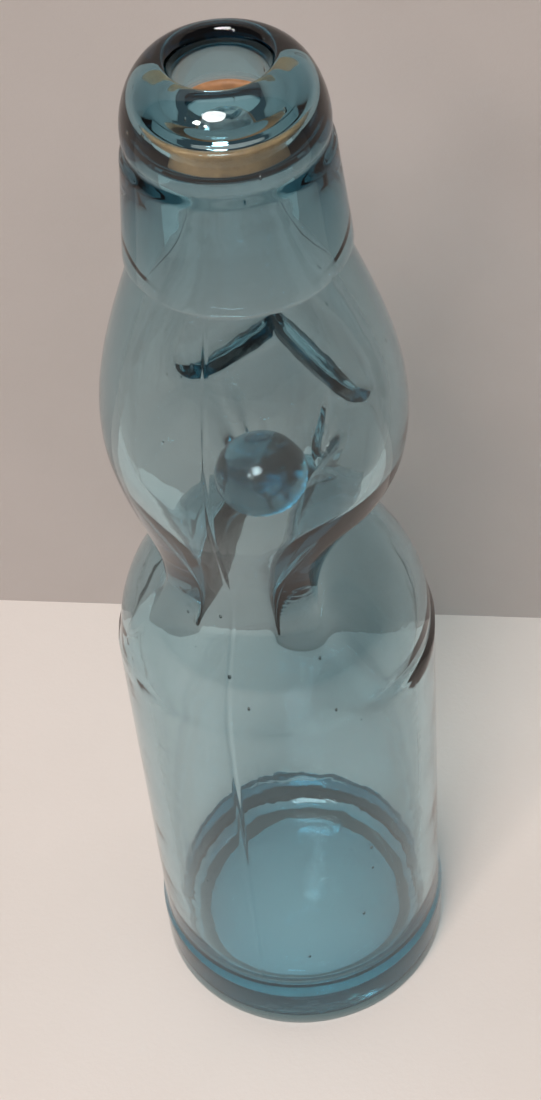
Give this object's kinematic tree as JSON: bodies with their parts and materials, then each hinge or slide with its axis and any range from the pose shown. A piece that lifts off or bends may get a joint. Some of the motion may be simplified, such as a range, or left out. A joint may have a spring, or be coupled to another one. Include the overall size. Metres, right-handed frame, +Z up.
{
  "type": "marble stopper bottle",
  "caption": "Glass bottle with a pinched waist, a bulb-shaped chamber that traps a glass marble, and a domed mouth whose rubber ring the marble seals.",
  "frame": {"origin": "centre of the foot, on the surface that the bottle stands on", "axes": "+Z up along the bottle's axis, the front lobe of the waist faces -Y, the pinches face -X and +X, the lugs are at +Y"},
  "size_m": [0.0624, 0.0624, 0.2256],
  "materials": {
    "bottle_glass": "clear aqua blue, smooth with faint waviness and a few seeds",
    "lip_glass": "clear aqua blue, tooled smooth",
    "seal_rubber": "orange-tan natural rubber, matte",
    "marble_glass": "solid deep aqua glass, polished"
  },
  "bodies": {
    "bottle": {"bottle_body": "bottle_glass", "applied_lip": "lip_glass", "sealing_ring": "seal_rubber"},
    "marble": {"marble": "marble_glass"}
  },
  "joints": [
    {"name": "marble_rise", "type": "slide", "parent": "bottle", "child": "marble", "axis": [0, 0, 1], "range_m": [0, 0.0672]}
  ]
}
